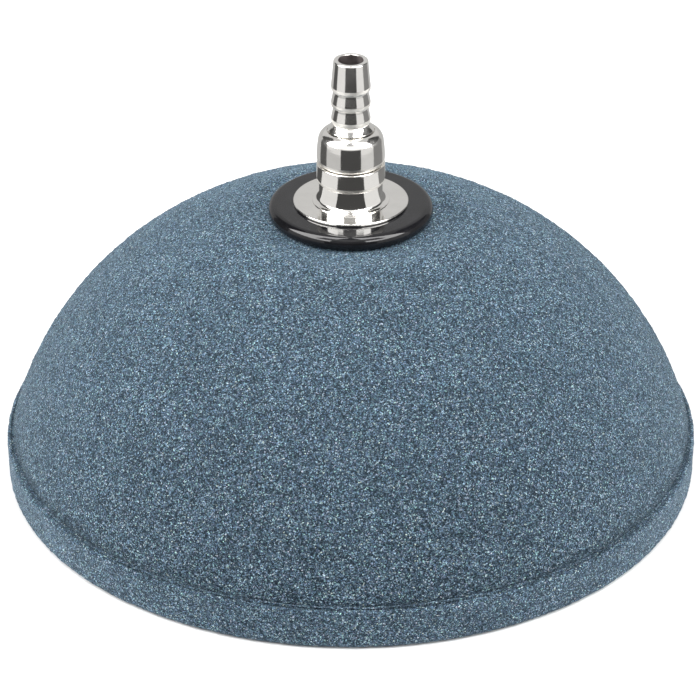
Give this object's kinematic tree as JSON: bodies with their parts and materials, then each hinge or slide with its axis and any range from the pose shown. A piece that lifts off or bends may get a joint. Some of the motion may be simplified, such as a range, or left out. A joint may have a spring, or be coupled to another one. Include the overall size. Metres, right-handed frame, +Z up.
{
  "type": "air stone",
  "caption": "Domed air stone of sintered grit with a metal hose fitting, a rubber gasket on its crown and a flat base, for aerating ponds and aquariums.",
  "frame": {"origin": "middle of the base, on the surface it stands on", "axes": "+Z up along the stem and the dome's axis"},
  "size_m": [0.13, 0.13, 0.0813],
  "materials": {
    "grit": "coarse sintered mineral grit",
    "lacquer": "thin brushed lacquer",
    "resin": "dark bonding resin",
    "polished_nickel": "mirror polished nickel plate",
    "rubber": "smooth glossy black rubber",
    "low_friction_plastic": "natural white",
    "spring_steel": "bright spring steel",
    "zinc_steel": "zinc plated steel"
  },
  "bodies": {
    "stone": {"base_plate": "grit", "base_seal_coat": "lacquer", "rim_bond": "resin", "dome_shell": "grit", "top_gasket": "rubber", "flange_disc": "polished_nickel", "inlet_stem": "polished_nickel", "stem_o_ring": "rubber", "seat_ring": "polished_nickel", "base_gasket": "rubber", "flat_washer": "zinc_steel", "spring_washer": "spring_steel", "hex_nut": "zinc_steel"},
    "carrier": {"slip_washer": "low_friction_plastic"},
    "cap": {"union_cap": "polished_nickel"},
    "tail": {"hose_tail": "polished_nickel", "tail_o_ring": "rubber", "retaining_ring": "spring_steel"}
  },
  "joints": [
    {"name": "cap_lift", "type": "slide", "parent": "stone", "child": "carrier", "axis": [0, 0, 1], "range_m": [0, 0.00375]},
    {"name": "cap_turn", "type": "hinge", "parent": "carrier", "child": "cap", "pos_m": [0, 0, 0.0646], "axis": [0, 0, 1], "range_deg": [0, 1800]},
    {"name": "tail_swivel", "type": "hinge", "parent": "carrier", "child": "tail", "pos_m": [0, 0, 0.0646], "axis": [0, 0, 1], "continuous": true}
  ],
  "couplings": [
    {"joint": "cap_lift", "follows": "cap_turn", "m_per_rad": 0.00011936}
  ]
}
